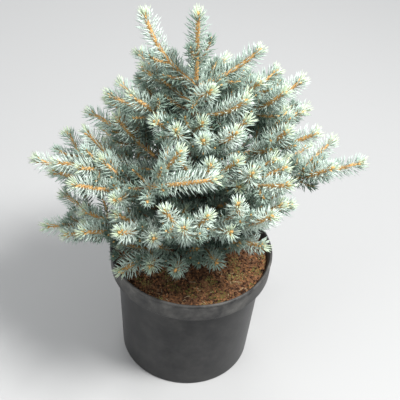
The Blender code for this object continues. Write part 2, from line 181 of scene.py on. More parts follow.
# Needles
NEEDLES_A_METRE = 1600
FINE_NEEDLES_A_METRE = 1300
TRUNK_NEEDLES_A_METRE = 900
TRUNK_NEEDLES_FROM = 0.400
NEEDLE_LENGTH = 0.0205
FINE_NEEDLE_LENGTH = 0.0150
NEEDLE_SIZES = (0.86, 1.10)
NEEDLE_RADIUS = 0.00085
NEEDLE_LEAN = 66.0
LEAN_SPREAD = 9
TIP_NEEDLE_LEAN = 24.0
TIP_LEAN_SPREAD = (-14, 26)
TIP_ZONE = 0.014
TIP_NEEDLES = 24
TIP_CROWD = 0.008
TIP_SHORTER = 0.18
ROOT_ZONE = 0.03
ROOT_SHARE = 0.72
NEEDLE_BEND = 0.12
NEEDLE_FOOT = 0.15
NEEDLE_SHOULDER = 0.64
NEEDLE_POINTS = 10
GOLDEN_ANGLE = math.radians(137.508)

# Light on a shoot, by which its shade of needles is dealt out
LIT_REACH = 0.20
LIT_REACH_LIMIT = 1.2
LIT_FROM = 0.25
LIT_HEIGHT = 0.36
LIT_WEIGHT = 0.62
LIT_SPREAD = 0.10
FINE_SHADE = 0.36
SHADES_A_LIGHT = 4.9
# Below this light a twig takes the dark bark: partly the darker bark of older wood, partly painted
# shade.
OLD_TWIG_LIGHT = 0.30
INNER_SHARE = 0.6
TIP_LENGTH = 0.003

# Stage, lights as name, place, power and size, and the camera fitted to the photograph
FLOOR_SIZE = 8.0
FLOOR_COLOUR = (0.46, 0.46, 0.455, 1.0)
SKY_COLOUR = (0.93, 0.96, 1.0, 1.0)
SKY_STRENGTH = 0.55
LIGHTS = (
    ("key", (0.9, -0.5, 2.3), 80.0, 0.6),
    ("fill", (-1.5, -1.0, 1.4), 13.0, 1.4),
    ("back", (-0.2, 1.6, 1.7), 12.0, 1.2),
)
LIGHT_AIM = (0, 0, 0.35)
CAMERA_PLACE = (0.00764, -1.06142, 1.22129)
CAMERA_PITCH = 40.562
CAMERA_ROLL = 4.661
FOCAL_PIXELS = 912.26
PHOTO_PIXELS = 400
SENSOR_WIDTH = 36.0

# Each bough: name, height where it leaves the trunk, heading, reach, height of its end bud,
# length of this year's end shoot, and how many side shoots fork off beside it.
BOUGHS = (
    ("top_left",           0.5225, 166, 0.088, 0.610, 0.118, 0),
    ("top_right",          0.519,  14, 0.072, 0.572, 0.085, 0),
    ("top_front",          0.508, 282, 0.046, 0.542, 0.048, 0),
    ("top_back",           0.512,  66, 0.062, 0.528, 0.070, 0),
    ("upper_left",         0.488, 152, 0.105, 0.532, 0.062, 2),
    ("upper_right",        0.462,  24, 0.108, 0.524, 0.075, 2),
    ("upper_far_right",    0.440,  12, 0.138, 0.522, 0.080, 2),
    ("upper_outer_left",   0.452, 174, 0.132, 0.482, 0.085, 2),
    ("upper_front",        0.440, 250, 0.090, 0.502, 0.070, 2),
    ("upper_front_right",  0.428, 298, 0.100, 0.508, 0.075, 3),
    ("upper_near_right",   0.472, 322, 0.072, 0.530, 0.060, 1),
    ("upper_back_left",    0.466, 120, 0.120, 0.490, 0.080, 2),
    ("upper_back",         0.448,  72, 0.130, 0.470, 0.080, 2),
    ("middle_left",        0.322, 169, 0.165, 0.436, 0.082, 3),
    ("middle_right",       0.395, 352, 0.162, 0.470, 0.080, 4),
    ("middle_front",       0.362, 278, 0.125, 0.478, 0.075, 4),
    ("middle_front_right", 0.375, 316, 0.170, 0.452, 0.080, 4),
    ("middle_back_right",  0.412,  35, 0.190, 0.420, 0.090, 4),
    ("middle_back",        0.382,  88, 0.188, 0.435, 0.090, 4),
    ("middle_back_left",   0.396, 135, 0.182, 0.425, 0.090, 4),
    ("far_left",           0.304, 176, 0.243, 0.352, 0.085, 2),
    ("left",               0.368, 190, 0.205, 0.392, 0.085, 2),
    ("front_left",         0.338, 212, 0.195, 0.410, 0.095, 2),
    ("front_across",       0.345, 278, 0.152, 0.477, 0.100, 1),
    ("far_right",          0.332,   2, 0.238, 0.402, 0.095, 2),
    ("low_front_right",    0.296, 304, 0.185, 0.425, 0.078, 4),
    ("low_front",          0.284, 267, 0.190, 0.425, 0.078, 4),
    ("low_near_front",     0.308, 289, 0.160, 0.390, 0.070, 4),
    ("low_front_left",     0.296, 240, 0.190, 0.385, 0.080, 4),
    ("low_outer_left",     0.276, 216, 0.190, 0.330, 0.080, 3),
    ("low_left",           0.262, 188, 0.225, 0.262, 0.085, 3),
    ("low_right",          0.286, 335, 0.150, 0.370, 0.070, 3),
    ("low_back_right",     0.290,  32, 0.200, 0.350, 0.085, 4),
    ("low_back",           0.286,  88, 0.205, 0.345, 0.085, 4),
    ("low_back_left",      0.280, 140, 0.205, 0.335, 0.085, 4),
    ("skirt_left",         0.258, 232, 0.158, 0.272, 0.070, 3),
    ("skirt_front",        0.250, 262, 0.135, 0.292, 0.070, 3),
    ("skirt_right",        0.264, 288, 0.125, 0.300, 0.070, 3),
    ("skirt_far_right",    0.272, 316, 0.142, 0.320, 0.070, 3),
    ("skirt_back_right",   0.262,  35, 0.140, 0.285, 0.070, 3),
    ("skirt_back",         0.255,  92, 0.135, 0.278, 0.070, 4),
    ("skirt_back_left",    0.252, 152, 0.150, 0.270, 0.070, 4),
)
BENDS = {
    "front_across": (219, 0.190, 18),
    "middle_left": (172, 0.110, 50),
}
LIMBLESS_WHORLS = ("top_", "upper_", "skirt_")
LIMBLESS = ("middle_front", "low_near_front", "low_right", "left", "low_front",
            "low_front_right", "low_front_left", "low_outer_left")

# The crown is joined into pieces by whorl: each takes the masses whose names start so.
WHORLS = {
    "top": ("leader", "top_"),
    "upper": ("upper_",),
    "middle": ("middle_",),
    "outer": ("far_", "left", "front_"),
    "low_front": ("low_front", "low_near", "low_outer", "low_right", "low_left"),
    "low_back": ("low_back",),
    "skirt": ("skirt_",),
}


# Lines and lengths

def unit(vector):
    return vector / np.linalg.norm(vector)


def heading(degrees, lift=0.0):
    turn, rise = math.radians(degrees), math.radians(lift)
    level = math.cos(rise)
    return np.array((math.cos(turn) * level, math.sin(turn) * level, math.sin(rise)))


def bezier(start, pull, end, count):
    t = np.linspace(0, 1, count)[:, None]
    return (1 - t) ** 2 * start + 2 * t * (1 - t) * pull + t ** 2 * end


def run_lengths(path):
    steps = np.linalg.norm(np.diff(path, axis=0), axis=1)
    return np.concatenate(([0.0], np.cumsum(steps)))


def points_at(path, distances):
    run = run_lengths(path)
    return np.stack([np.interp(distances, run, path[:, k]) for k in range(3)], axis=1)


def stretch(path, start, end, count):
    return points_at(path, np.linspace(start, end, count))


def nearest(points, others):
    return np.min(np.linalg.norm(points[:, None] - others[None], axis=2), axis=1)


# The plan of the crown, by the same rule as in the solids

def trunk_axis(z):
    share = max(0.0, (z - SOIL_TOP) / (LEADER_TIP - SOIL_TOP))
    return np.array((TRUNK_LEAN * share ** LEAN_POWER, 0.0, z))


def trunk_line(low, high, count):
    return np.array([trunk_axis(z) for z in np.linspace(low, high, count)])


def trunk_radius(z):
    share = (z - SOIL_TOP) / (TRUNK_TOP - SOIL_TOP)
    plain = TRUNK_FOOT_RADIUS + (TRUNK_TOP_RADIUS - TRUNK_FOOT_RADIUS) * share
    return plain + FLARE_RADIUS * math.exp(-(z - SOIL_TOP) / FLARE_HEIGHT)


def bough_path(row):
    name, root, turn, reach, bud = row[:5]
    start = trunk_axis(root)
    end = reach * heading(turn) + np.array((0, 0, bud))
    span = np.linalg.norm(end - start)
    rise = math.degrees(math.asin((bud - root) / span))
    plain_arm = (turn, BOUGH_ARM * span, BOUGH_ARM_LIFT * rise)
    arm_turn, arm, lift = BENDS.get(name, plain_arm)
    return bezier(start, start + arm * heading(arm_turn, lift), end, PATH_STEPS)


def side_shoot(fork, forward, hand, length, rng, spreads=FORK_SPREAD, rolls=FORK_ROLL):
    level = unit(np.cross((0, 0, 1.0), forward))
    upward = np.cross(forward, level)
    spread = math.radians(rng.uniform(*spreads))
    roll = math.radians(rng.uniform(*rolls))
    away = hand * math.cos(roll) * level + math.sin(roll) * upward
    out = math.cos(spread) * forward + math.sin(spread) * away
    onward = (1 - FORK_STRAIGHTENS) * out + FORK_STRAIGHTENS * forward
    end = fork + length * unit(onward + np.array((0, 0, FORK_RISES)))
    return bezier(fork, fork + 0.5 * length * out, end, SHOOT_STEPS)


def plan_mass(row):
    """Splits one bough into its bare limb and the stem of its foliage."""
    name, shoot, sides = row[0], row[5], row[6]
    path = bough_path(row)
    total = run_lengths(path)[-1]
    limbless = name.startswith(LIMBLESS_WHORLS) or name in LIMBLESS
    stem = total if limbless else shoot + OLD_WOOD
    limb = None
    if not limbless:
        end = total - stem - GAP
        limb = points_at(path, [*np.linspace(0, end - STEM_RADIUS, LIMB_STEPS), end])
    return {
        "name": name,
        "limb": limb,
        "shoots": [stretch(path, total - stem, total, STEM_STEPS)],
        "node": max((stem - shoot) / stem, LOWEST_NODE),
        "shoot": shoot,
        "sides": sides,
    }


def plan_crown():
    rng = random.Random(SEED)
    masses = [plan_mass(row) for row in BOUGHS]
    leader = trunk_line(TRUNK_TOP + GAP, LEADER_TIP, STEM_STEPS)
    masses.append({"name": "leader", "limb": None, "shoots": [leader], "node": 0.0,
                   "shoot": LEADER_TIP - TRUNK_TOP, "sides": 0})
    taken = [mass["shoots"][0] for mass in masses]
    taken += [mass["limb"] for mass in masses if mass["limb"] is not None]
    taken.append(trunk_line(SOIL_TOP, TRUNK_TOP, 40))
    for mass in masses:
        stem = mass["shoots"][0]
        hand = rng.choice((-1, 1))
        for index in range(mass["sides"]):
            share = mass["node"] * (1.0 if index < 2 else SECOND_WHORL)
            share += FORK_STAGGER * (index % 2)
            place = share * (len(stem) - 1)
            first = min(int(place), len(stem) - 2)
            step = stem[first + 1] - stem[first]
            fork = stem[first] + (place - first) * step
            best_room, best = 0.0, None
            for attempt in range(FORK_TRIES):
                length = mass["shoot"] * rng.uniform(*FORK_LENGTH)
                shoot = side_shoot(fork, unit(step), hand, length, rng)
                room = min(nearest(shoot[3:], other).min() for other in taken)
                if room > best_room:
                    best_room, best = room, shoot
                if room > ROOMY:
                    break
            hand = -hand
            if best_room > SHOOT_ROOM:
                mass["shoots"].append(best)
                taken.append(best)
    return masses


def plan_trunk_twigs(rng, taken):
    """Short twigs round the trunk, left out towards the front where the trunk shows."""
    twigs = []
    for index, z in enumerate(np.arange(*TRUNK_TWIGS, TRUNK_TWIG_STEP)):
        turn = math.degrees(index * GOLDEN_ANGLE)
        start = trunk_axis(z)
        length = rng.uniform(*FINE_LENGTH) * TRUNK_TWIG_STRETCH
        end = start + length * heading(turn, rng.uniform(*TRUNK_TWIG_RISE))
        pull = start + 0.5 * length * heading(turn, TRUNK_TWIG_START)
        twig = bezier(start, pull, end, SHOOT_STEPS)
        shows_trunk = z > TRUNK_NEEDLES_FROM and twig[-1][1] < -0.5 * length
        if not shows_trunk and nearest(twig[4:], taken).min() > FINE_ROOM:
            twigs.append(twig)
            taken = np.concatenate([taken, twig[4:]])
    return twigs, taken


def bearing_wood(mass):
    """The stretches of a mass's wood that carry finer twigs, as path, start and end."""
    stem = mass["shoots"][0]
    total = run_lengths(stem)[-1]
    stretches = [(stem, BARE_AT_FORK, total - BARE_END_SHARE * mass["shoot"])]
    if mass["limb"] is not None:
        length = run_lengths(mass["limb"])[-1]
        stretches.append((mass["limb"], BARE_LIMB_SHARE * length, length))
    for shoot in mass["shoots"][1:]:
        length = run_lengths(shoot)[-1]
        stretches.append((shoot, BARE_AT_FORK, SIDE_SHARE * length))
    return stretches


def plan_fine_twigs(masses):
    """Gives every mass its finer twigs, wherever they have room, and returns the trunk's."""
    rng = random.Random(FINE_SEED)
    taken = [stretch(s, 0, run_lengths(s)[-1], 16) for mass in masses for s in mass["shoots"]]
    taken += [stretch(m["limb"], 0, run_lengths(m["limb"])[-1], 30)
              for m in masses if m["limb"] is not None]
    trunk_twigs, taken = plan_trunk_twigs(rng, np.concatenate(taken))
    taken = np.concatenate([taken, trunk_line(SOIL_TOP, TRUNK_TOP, 60)])
    for mass in masses:
        mass["fine"] = []
        for path, start, end in bearing_wood(mass):
            hand = rng.choice((-1, 1))
            place = start + rng.uniform(0, FINE_STEP)
            while place < end:
                fork, ahead = points_at(path, (place, place + 0.002))
                if np.allclose(fork, ahead):
                    break
                for attempt in range(FINE_TRIES):
                    length = rng.uniform(*FINE_LENGTH)
                    twig = side_shoot(fork, unit(ahead - fork), hand, length, rng,
                                      FINE_SPREAD, FINE_ROLL)
                    outer = stretch(twig, ROOM_SHARES[0] * length, ROOM_SHARES[1] * length, 8)
                    low = outer[:, 2].min() < POT_HEIGHT + ABOVE_RIM
                    if not low and nearest(outer, taken).min() > FINE_ROOM:
                        mass["fine"].append(twig)
                        taken = np.concatenate([taken, outer])
                        break
                hand = -hand
                place += FINE_STEP * rng.uniform(*FINE_STAGGER)
    return trunk_twigs


# Meshes from arrays

def array_mesh(name, points, faces, slots=None):
    """One smooth mesh from arrays of points and of faces with equal numbers of corners."""
    points = np.asarray(points, dtype=np.float32)
    faces = np.asarray(faces, dtype=np.int32)
    corners = faces.shape[1]
    mesh = bpy.data.meshes.new(name)
    mesh.vertices.add(len(points))
    mesh.vertices.foreach_set("co", points.ravel())
    mesh.loops.add(faces.size)
    mesh.loops.foreach_set("vertex_index", faces.ravel())
    mesh.polygons.add(len(faces))
    mesh.polygons.foreach_set("loop_start", np.arange(0, faces.size, corners, dtype=np.int32))
    if slots is not None:
        mesh.polygons.foreach_set("material_index", np.asarray(slots, dtype=np.int32))
    mesh.update(calc_edges=True)
    mesh.validate()
    mesh.shade_smooth()
    return mesh


def add_piece(name, mesh, materials, nodes=()):
    obj = bpy.data.objects.new(name, mesh)
    bpy.context.scene.collection.objects.link(obj)
    for material in materials:
        mesh.materials.append(material)
    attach(obj, "root")
    if nodes:
        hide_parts(*nodes)
    return obj


def path_frames(path, distances):
    """Points, forward directions and two crosswise directions along a path, untwisted."""
    points = points_at(path, distances)
    total = run_lengths(path)[-1]
    before = points_at(path, np.maximum(distances - 0.002, 0.0))
    after = points_at(path, np.minimum(distances + 0.002, total))
    forward = after - before
    forward /= np.linalg.norm(forward, axis=1)[:, None]
    side = np.cross(forward[0], FRAME_START)
    sides = []
    for direction in forward:
        side = unit(side - direction * side.dot(direction))
        sides.append(side)
    sides = np.array(sides)
    return points, forward, sides, np.cross(forward, sides)


class Batch:
    """Collects small meshes with equal face sizes for one joined piece."""

    def __init__(self):
        self.points, self.faces, self.slots, self.count = [], [], [], 0

    def add(self, points, faces, slot):
        self.points.append(np.asarray(points))
        self.faces.append(np.asarray(faces) + self.count)
        self.slots.append(np.broadcast_to(slot, len(faces)))
        self.count += len(points)

    def mesh(self, name):
        return array_mesh(name, np.concatenate(self.points), np.concatenate(self.faces),
                          np.concatenate(self.slots))


def turns_round(count):
    return np.linspace(0, 2 * math.pi, count, endpoint=False)


def ring_quads(rings, corners):
    """Quads between closed rings of points with equal numbers of corners."""
    ring = np.arange(rings - 1)[:, None] * corners
    k = np.arange(corners)[None]
    after = (k + 1) % corners
    quads = np.stack([ring + k, ring + after, ring + corners + after, ring + corners + k], axis=2)
    return quads.reshape(-1, 4)


def tube_arrays(points, sides, overs, radii, corners):
    """Points and quads of a tube whose radius may differ at each of its points."""
    turns = turns_round(corners)
    across = (np.cos(turns)[None, :, None] * sides[:, None]
              + np.sin(turns)[None, :, None] * overs[:, None])
    radii = np.asarray(radii)
    if radii.ndim == 1:
        radii = np.repeat(radii[:, None], corners, axis=1)
    verts = (points[:, None] + radii[:, :, None] * across).reshape(-1, 3)
    return verts, ring_quads(len(points), corners)


# Materials

def nodes_of(name):
    material = bpy.data.materials.new(name)
    material.use_nodes = True
    tree = material.node_tree
    return material, tree, tree.nodes["Principled BSDF"]


def noise_texture(tree, scale, detail=4.0, roughness=0.55, stretch_by=None):
    coords = tree.nodes.new("ShaderNodeTexCoord")
    texture = tree.nodes.new("ShaderNodeTexNoise")
    texture.inputs["Scale"].default_value = scale
    texture.inputs["Detail"].default_value = detail
    texture.inputs["Roughness"].default_value = roughness
    if stretch_by is None:
        tree.links.new(coords.outputs["Object"], texture.inputs["Vector"])
    else:
        mapping = tree.nodes.new("ShaderNodeMapping")
        mapping.inputs["Scale"].default_value = stretch_by
        tree.links.new(coords.outputs["Object"], mapping.inputs["Vector"])
        tree.links.new(mapping.outputs["Vector"], texture.inputs["Vector"])
    return texture.outputs["Fac"]


def ramp(tree, factor, stops):
    node = tree.nodes.new("ShaderNodeValToRGB")
    elements = node.color_ramp.elements
    while len(elements) < len(stops):
        elements.new(0.5)
    for element, (place, colour) in zip(elements, stops):
        element.position = place
        element.color = (*colour, 1.0)
    tree.links.new(factor, node.inputs["Fac"])
    return node.outputs["Color"]


def bump(tree, shader, height, strength, distance):
    node = tree.nodes.new("ShaderNodeBump")
    node.inputs["Strength"].default_value = strength
    node.inputs["Distance"].default_value = distance
    tree.links.new(height, node.inputs["Height"])
    tree.links.new(node.outputs["Normal"], shader.inputs["Normal"])


def varied(name, colours, scale, roughness, specular=0.5, bump_scale=None, bump_depth=0.0004,
           sheen=0.0):
    """A material whose base colour wanders between a few near colours."""
    material, tree, shader = nodes_of(name)
    places = np.linspace(0.32, 0.68, len(colours))
    colour = ramp(tree, noise_texture(tree, scale), list(zip(places, colours)))
    tree.links.new(colour, shader.inputs["Base Color"])
    shader.inputs["Roughness"].default_value = roughness
    shader.inputs["Specular IOR Level"].default_value = specular
    if sheen:
        shader.inputs["Sheen Weight"].default_value = sheen
        shader.inputs["Sheen Roughness"].default_value = 0.5
    if bump_scale:
        bump(tree, shader, noise_texture(tree, bump_scale), 0.6, bump_depth)
    return material


def near_colours(colour, spread):
    colour = np.array(colour)
    return [tuple(colour * (1 - spread)), tuple(colour), tuple(np.minimum(colour * (1 + spread), 1))]


# Needle colours: the first five are one needle colour in steps of painted shade and painted light,
# from deep shade to full light, dealt out by the light on each shoot; then the yellower young tips
# and the orange needle feet.
NEEDLE_COLOURS = (
    ("needle_painted_deep_shade", (0.130, 0.200, 0.150)),
    ("needle_shade", (0.240, 0.330, 0.265)),
    ("needle_mid", (0.380, 0.490, 0.415)),
    ("needle_painted_light", (0.510, 0.625, 0.550)),
    ("needle_painted_full_light", (0.640, 0.750, 0.670)),
    ("needle_tip", (0.600, 0.700, 0.510)),
    ("needle_foot", (0.620, 0.440, 0.180)),
)
DEEP_SHADE_SLOT, MID_SLOT, MOST_LIT_SLOT, TIP_SLOT, FOOT_SLOT = 0, 2, 4, 5, 6
# Twig slots: the young orange bark, and the dark bark, which is partly older wood and partly painted
# shade.
YOUNG_TWIG_SLOT, OLD_SHADED_TWIG_SLOT = 0, 1


def needle_materials():
    return [varied(name, near_colours(colour, 0.14), 90.0, 0.48, 0.45, sheen=0.15)
            for name, colour in NEEDLE_COLOURS]


def twig_materials():
    young = varied("twig_young", [(0.42, 0.210, 0.075), (0.58, 0.330, 0.120), (0.72, 0.47, 0.20)],
                   160.0, 0.6, 0.4, bump_scale=900.0, bump_depth=0.0003)
    # Dark bark for twigs that get little light: partly the darker bark of older wood, partly painted
    # shade.
    old_and_shaded = varied("twig_old_and_shaded", [(0.13, 0.075, 0.042), (0.21, 0.125, 0.072), (0.30, 0.20, 0.125)],
                 120.0, 0.8, 0.3, bump_scale=600.0, bump_depth=0.0005)
    return [young, old_and_shaded]


def bark_material():
    material, tree, shader = nodes_of("bark")
    broad = noise_texture(tree, 70.0, 6.0, 0.6, (1.0, 1.0, 0.45))
    colour = ramp(tree, broad, [(0.28, (0.085, 0.052, 0.032)), (0.45, (0.175, 0.112, 0.065)),
                                (0.58, (0.270, 0.190, 0.115)), (0.74, (0.340, 0.275, 0.190))])
    tree.links.new(colour, shader.inputs["Base Color"])
    shader.inputs["Roughness"].default_value = 0.88
    bump(tree, shader, noise_texture(tree, 420.0, 5.0, 0.6, (1.0, 1.0, 0.4)), 0.8, 0.0006)
    return material


def bud_material():
    return varied("bud_scale", [(0.46, 0.22, 0.07), (0.62, 0.36, 0.12), (0.74, 0.52, 0.22)],
                  400.0, 0.55, 0.4, bump_scale=1500.0, bump_depth=0.0002)


def pot_material():
    material, tree, shader = nodes_of("weathered_pot_painted_highlight")
    coords = tree.nodes.new("ShaderNodeTexCoord")
    split = tree.nodes.new("ShaderNodeSeparateXYZ")
    tree.links.new(coords.outputs["Object"], split.inputs["Vector"])
    # Pale grey blotches, more towards the top from just below the band: partly a dusty film, partly
    # a painted highlight on the lit band.
    band = tree.nodes.new("ShaderNodeMapRange")
    band.inputs["From Min"].default_value = POT_HEIGHT - BAND_HEIGHT - DUST_AND_HIGHLIGHT_BELOW_BAND
    band.inputs["From Max"].default_value = POT_HEIGHT
    band.inputs["To Min"].default_value = DUST_AND_HIGHLIGHT_AMOUNT[0]
    band.inputs["To Max"].default_value = DUST_AND_HIGHLIGHT_AMOUNT[1]
    tree.links.new(split.outputs["Z"], band.inputs["Value"])
    blotches = noise_texture(tree, 26.0, 8.0, 0.65)
    spots = ramp(tree, blotches, [(0.36, (0, 0, 0)), (0.66, (1, 1, 1))])
    dust_and_highlight_mask = tree.nodes.new("ShaderNodeMath")
    dust_and_highlight_mask.operation = "MULTIPLY"
    tree.links.new(spots, dust_and_highlight_mask.inputs[0])
    tree.links.new(band.outputs["Result"], dust_and_highlight_mask.inputs[1])
    mix = tree.nodes.new("ShaderNodeMix")
    mix.data_type = "RGBA"
    tree.links.new(dust_and_highlight_mask.outputs["Value"], mix.inputs["Factor"])
    plastic = ramp(tree, noise_texture(tree, 8.0, 5.0), [(0.35, (0.012, 0.012, 0.013)),
                                                         (0.65, (0.022, 0.022, 0.023))])
    dust_and_highlight_colour = ramp(tree, noise_texture(tree, 60.0, 6.0), [(0.35, (0.120, 0.116, 0.108)),
                                                       (0.65, (0.230, 0.222, 0.205))])
    tree.links.new(plastic, mix.inputs["A"])
    tree.links.new(dust_and_highlight_colour, mix.inputs["B"])
    tree.links.new(mix.outputs["Result"], shader.inputs["Base Color"])
    rough = tree.nodes.new("ShaderNodeMapRange")
    rough.inputs["To Min"].default_value = POT_ROUGHNESS[0]
    rough.inputs["To Max"].default_value = POT_ROUGHNESS[1]
    tree.links.new(dust_and_highlight_mask.outputs["Value"], rough.inputs["Value"])
    tree.links.new(rough.outputs["Result"], shader.inputs["Roughness"])
    shader.inputs["Specular IOR Level"].default_value = 0.28
    bump(tree, shader, noise_texture(tree, 700.0, 3.0), 0.35, 0.0002)
    return material


def soil_material():
    material, tree, shader = nodes_of("soil")
    colour = ramp(tree, noise_texture(tree, 130.0, 8.0, 0.7),
                  [(0.30, (0.035, 0.014, 0.006)), (0.46, (0.105, 0.044, 0.018)),
                   (0.58, (0.190, 0.088, 0.038)), (0.72, (0.310, 0.180, 0.090))])
    tree.links.new(colour, shader.inputs["Base Color"])
    shader.inputs["Roughness"].default_value = 0.95
    bump(tree, shader, noise_texture(tree, 500.0, 6.0, 0.7), 1.0, 0.0012)
    return material


# The crown's pieces

def whorl_of(name):
    for whorl, starts in WHORLS.items():
        if name.startswith(starts):
            return whorl
    raise ValueError(name)


def exposure(path):
    """How much light a shoot gets: more towards the crown's outside and top."""
    x, y, z = path[-1]
    reach = math.hypot(x, y)
    outside = LIT_WEIGHT * min(reach / LIT_REACH, LIT_REACH_LIMIT)
    return outside + LIT_WEIGHT * (z - LIT_FROM) / LIT_HEIGHT


def needle_arrays(path, bare, length, rng, density):
    """Curved three-sided needles all round a shoot, and how far each is from its tip."""
    total = run_lengths(path)[-1]
    count = int((total - bare) * density)
    places = bare + (np.arange(count) + 0.5) * (total - bare) / count
    crowd = int(TIP_NEEDLES * length / NEEDLE_LENGTH)
    places = np.concatenate([places, total - TIP_CROWD * rng.uniform(0, 1, crowd) ** 1.5])
    count += crowd
    grid = np.linspace(0, total, 24)
    points, forward, side, over = path_frames(path, grid)

    def along(values):
        return np.stack([np.interp(places, grid, values[:, k]) for k in range(3)], axis=1)

    centre, ahead, left, up = along(points), along(forward), along(side), along(over)
    angle = np.arange(count) * GOLDEN_ANGLE + rng.uniform(-0.25, 0.25, count)
    outward = np.cos(angle)[:, None] * left + np.sin(angle)[:, None] * up
    to_tip = total - places
    near_tip = np.clip(1 - to_tip / TIP_ZONE, 0, 1)
    lean = np.radians(NEEDLE_LEAN + near_tip * (TIP_NEEDLE_LEAN - NEEDLE_LEAN)
                      + rng.uniform(-LEAN_SPREAD, LEAN_SPREAD, count)
                      + near_tip * rng.uniform(*TIP_LEAN_SPREAD, count))
    size = length * rng.uniform(*NEEDLE_SIZES, count) * (1 - TIP_SHORTER * near_tip)
    size *= np.clip(ROOT_SHARE + (places - bare) / ROOT_ZONE, ROOT_SHARE, 1.0)
    direction = np.cos(lean)[:, None] * ahead + np.sin(lean)[:, None] * outward
    direction /= np.linalg.norm(direction, axis=1)[:, None]
    skyward = np.array((0, 0, 1.0)) + 0.6 * ahead
    bend = skyward - direction * np.sum(skyward * direction, axis=1)[:, None]
    root = centre + 0.0010 * outward
    middle = root + (NEEDLE_SHOULDER * size)[:, None] * direction
    middle += (NEEDLE_SHOULDER ** 2 * NEEDLE_BEND * size)[:, None] * bend
    tip = root + size[:, None] * direction + (NEEDLE_BEND * size)[:, None] * bend
    across = np.cross(direction, ahead + 0.01)
    across /= np.linalg.norm(across, axis=1)[:, None]
    above = np.cross(direction, across)
    foot = root + (NEEDLE_FOOT * size)[:, None] * direction
    verts = np.empty((count, NEEDLE_POINTS, 3))
    for corner in range(3):
        turn = 2 * math.pi * corner / 3
        offset = math.cos(turn) * across + math.sin(turn) * above
        verts[:, corner] = root + 0.9 * NEEDLE_RADIUS * offset
        verts[:, corner + 3] = foot + 0.75 * NEEDLE_RADIUS * offset
        verts[:, corner + 6] = middle + NEEDLE_RADIUS * offset
    verts[:, 9] = tip
    pattern, feet = [], []
    for corner in range(3):
        after = (corner + 1) % 3
        for low in (0, 3):
            pattern += [(corner + low, after + low, after + low + 3),
                        (corner + low, after + low + 3, corner + low + 3)]
            feet += [low == 0] * 2
        pattern.append((corner + 6, after + 6, 9))
        feet.append(False)
    faces = np.arange(count)[:, None, None] * NEEDLE_POINTS + np.array(pattern)[None]
    faces = faces.reshape(-1, 3)
    return verts.reshape(-1, 3), faces, np.repeat(to_tip, len(pattern)), np.tile(feet, count)


def dress_shoot(batches, path, bare, fine, rng):
    """Adds one shoot's twig, needles and buds to its whorl's batches."""
    total = run_lengths(path)[-1]
    length = FINE_NEEDLE_LENGTH if fine else NEEDLE_LENGTH
    # The light on a shoot, less on finer twigs, picks its needles' step of painted shade and light.
    # Needles on the inner part of the shoot take one step more painted shade, and the feet on a
    # shoot in the deepest step take painted deep shade as well.
    light = exposure(path) + rng.normal(0, LIT_SPREAD) - (FINE_SHADE if fine else 0.0)
    slot = int(np.clip(light * SHADES_A_LIGHT, 0, MOST_LIT_SLOT))
    density = FINE_NEEDLES_A_METRE if fine else NEEDLES_A_METRE
    verts, faces, to_tip, feet = needle_arrays(path, bare, length, rng, density)
    slots = np.where(to_tip > INNER_SHARE * total, max(slot - 1, DEEP_SHADE_SLOT), slot)
    if slot >= MID_SLOT and not fine:
        slots = np.where(to_tip < TIP_LENGTH, TIP_SLOT, slots)
    slots = np.where(feet, FOOT_SLOT if slot > DEEP_SHADE_SLOT else DEEP_SHADE_SLOT, slots)
    batches["needles"].add(verts, faces, slots)
    root_radius = FINE_RADIUS * FINE_ROOT_SHARE if fine else SHOOT_ROOT_RADIUS
    tip_radius = FINE_RADIUS if fine else SHOOT_TIP_RADIUS
    distances = np.linspace(0, total, max(6, int(total / TWIG_RING_STEP)))
    points, forward, sides, overs = path_frames(path, distances)
    radii = np.linspace(root_radius, tip_radius, len(distances))[:, None]
    radii = radii * rng.uniform(*TWIG_UNEVEN, (len(distances), TWIG_CORNERS))
    radii[-1] *= 0.4
    verts, quads = tube_arrays(points, sides, overs, radii, TWIG_CORNERS)
    # Twigs that get little light take the dark bark, partly older wood and partly painted shade.
    batches["twigs"].add(verts, quads, OLD_SHADED_TWIG_SLOT if light < OLD_TWIG_LIGHT else YOUNG_TWIG_SLOT)
    add_buds(batches["buds"], points[-1], forward[-1], sides[-1], overs[-1],
             FINE_BUD_SIZE if fine else BUD_SIZE, 1 if fine else BUD_COUNT, rng)


def add_buds(batch, place, forward, side, over, size, count, rng):
    """A cluster of pointed buds at a shoot's tip: one at the end, others round it."""
    turns = turns_round(BUD_CORNERS)
    for index in range(count):
        axis, start = forward, place - 0.2 * size * forward
        scale = size
        if index:
            angle = 2 * math.pi * index / (count - 1) + rng.uniform(-0.3, 0.3)
            outward = math.cos(angle) * side + math.sin(angle) * over
            axis = unit(0.75 * forward + 0.65 * outward)
            start = place - 0.6 * size * forward + 0.35 * size * outward
            scale = size * 0.72
        left = unit(np.cross(axis, FRAME_START))
        up = np.cross(axis, left)
        length, width = 1.9 * scale, 0.62 * scale
        across = np.cos(turns)[:, None] * left + np.sin(turns)[:, None] * up
        verts = np.concatenate([start + t * length * axis + r * width * across
                                for t, r in BUD_OUTLINE])
        batch.add(verts, ring_quads(len(BUD_OUTLINE), BUD_CORNERS), 0)


def dress_trunk(batches, trunk_twigs, rng):
    """Needles on the young top of the trunk, and the twigs between its whorls."""
    young = trunk_line(TRUNK_NEEDLES_FROM, TRUNK_TOP, 16)
    verts, faces, to_tip, feet = needle_arrays(young, 0.0, NEEDLE_LENGTH, rng,
                                               TRUNK_NEEDLES_A_METRE)
    keep = to_tip > 0.004
    # The trunk's needles all take the middle step of painted shade and light.
    batches["needles"].add(verts, faces[keep], np.where(feet[keep], FOOT_SLOT, MID_SLOT))
    for twig in trunk_twigs:
        dress_shoot(batches, twig, TRUNK_TWIG_BARE, True, rng)


